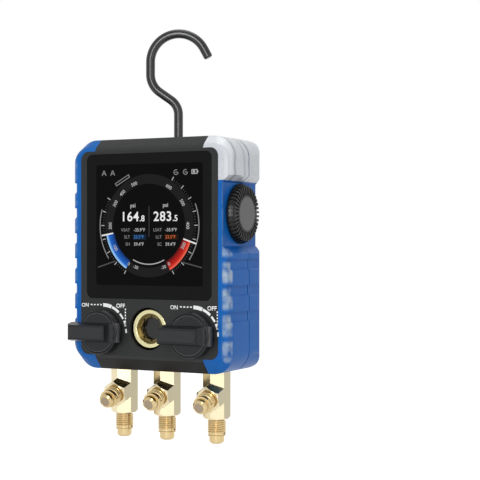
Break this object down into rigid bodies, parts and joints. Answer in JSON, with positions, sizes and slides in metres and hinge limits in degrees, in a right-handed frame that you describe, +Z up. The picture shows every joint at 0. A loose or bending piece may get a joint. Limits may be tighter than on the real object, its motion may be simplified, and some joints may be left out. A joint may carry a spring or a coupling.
{
  "type": "refrigerant manifold gauge",
  "caption": "Digital refrigerant manifold gauge: square display, rubber-gripped housing, quarter-turn lever valves, sight glass, side knob, flare hose ports and swivel hook.",
  "frame": {"origin": "inside of the hook's bow at its top, where the gauge hangs", "axes": "+Z up along the hook's shank, +Y from the display to the back, +X to the side with the knob"},
  "size_m": [0.105, 0.0593, 0.2464],
  "materials": {
    "shell_abs": "moulded ABS, fine grain",
    "blue_rubber": "over-moulded TPE, satin",
    "frost_rubber": "over-moulded TPE, pale and translucent",
    "display_cover": "hard-coated cover, gloss",
    "lcd_glass": "unlit panel",
    "frame_plastic": "moulded nylon",
    "circuit_board": "solder mask",
    "chip_resin": "epoxy",
    "screw_steel": "zinc plated",
    "cell_jacket": "plain cell jacket",
    "contact_nickel": "nickel plated",
    "brass": "turned and milled",
    "sensor_steel": "stainless, turned",
    "seal_rubber": "nitrile",
    "sight_glass": "clear",
    "handle_nylon": "moulded nylon",
    "knob_rubber": "moulded, toothed",
    "knob_disc_plastic": "moulded, satin",
    "hook_enamel": "black gloss on steel rod",
    "bush_acetal": "acetal"
  },
  "bodies": {
    "housing": {"front_shell": "shell_abs", "back_shell": "shell_abs", "seam_gasket": "seal_rubber", "case_screws": "screw_steel", "front_left_grip": "blue_rubber", "rear_left_grip": "blue_rubber", "front_right_grip": "blue_rubber", "rear_right_grip": "blue_rubber", "front_corner_cap": "frost_rubber", "rear_corner_cap": "frost_rubber", "display_lens": "display_cover", "lcd_panel": "lcd_glass", "mid_frame": "frame_plastic", "frame_screws": "screw_steel", "main_board": "circuit_board", "board_parts": "chip_resin", "board_screws": "screw_steel", "battery_cells": "cell_jacket", "battery_contacts": "contact_nickel", "battery_door": "shell_abs", "door_screws": "screw_steel", "manifold_block": "brass", "block_screws": "screw_steel", "low_sensor": "sensor_steel", "high_sensor": "sensor_steel", "sensor_seals": "seal_rubber", "valve_bonnets": "brass", "stem_seals": "seal_rubber", "sight_barrel": "brass", "sight_ring": "brass", "sight_glass": "sight_glass", "sight_seal": "seal_rubber", "low_port": "brass", "common_port": "brass", "high_port": "brass", "encoder_body": "frame_plastic", "encoder_nut": "screw_steel", "hook_bush": "bush_acetal"},
    "hook": {"hook_rod": "hook_enamel", "hook_washer": "screw_steel", "hook_clip": "screw_steel"},
    "low_valve": {"low_stem": "sensor_steel", "low_handle": "handle_nylon", "low_handle_screw": "screw_steel", "low_handle_label": "handle_nylon"},
    "high_valve": {"high_stem": "sensor_steel", "high_handle": "handle_nylon", "high_handle_screw": "screw_steel", "high_handle_label": "handle_nylon"},
    "knob_plunger": {"encoder_plunger": "knob_disc_plastic"},
    "knob": {"encoder_shaft": "screw_steel", "side_knob": "knob_rubber", "knob_disc": "knob_disc_plastic"}
  },
  "joints": [
    {"name": "hook_swivel", "type": "hinge", "parent": "housing", "child": "hook", "pos_m": [0, 0, -0.06885], "axis": [0, 0, 1], "continuous": true},
    {"name": "low_valve_turn", "type": "hinge", "parent": "housing", "child": "low_valve", "pos_m": [-0.0305, -0.036, -0.17635], "axis": [0, -1, 0], "range_deg": [0, 90]},
    {"name": "high_valve_turn", "type": "hinge", "parent": "housing", "child": "high_valve", "pos_m": [0.0305, -0.036, -0.17635], "axis": [0, -1, 0], "range_deg": [0, 90]},
    {"name": "knob_push", "type": "slide", "parent": "housing", "child": "knob_plunger", "axis": [-1, 0, 0], "range_m": [0, 0.0005], "stiffness_N_per_m": 600, "springref_m": -0.0015},
    {"name": "knob_turn", "type": "hinge", "parent": "knob_plunger", "child": "knob", "pos_m": [0.05, -0.0112, -0.10695], "axis": [1, 0, 0], "continuous": true}
  ]
}
